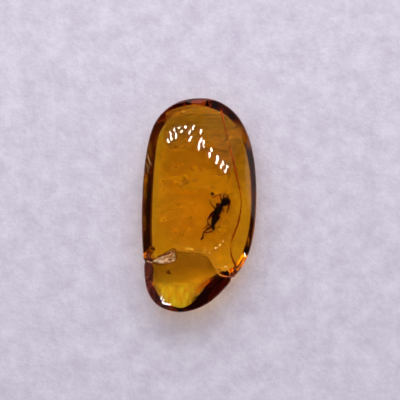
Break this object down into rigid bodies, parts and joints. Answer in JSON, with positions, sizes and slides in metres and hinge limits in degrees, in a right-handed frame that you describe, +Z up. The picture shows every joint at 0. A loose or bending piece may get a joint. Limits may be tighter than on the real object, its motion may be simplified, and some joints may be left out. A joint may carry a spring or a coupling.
{
  "type": "insect in amber",
  "caption": "Oblong polished amber pebble with a low dome, bevelled rim, undercut and flat base, holding a small dark ant-like insect.",
  "frame": {"origin": "on the flat base, under the middle of the pebble", "axes": "+Z up from the base, +Y along the length towards the rounded far end, +X across the width"},
  "size_m": [0.012, 0.0223, 0.0052],
  "materials": {
    "amber": "polished clear golden brown resin"
  },
  "bodies": {
    "root": {"amber": "amber"}
  },
  "joints": []
}
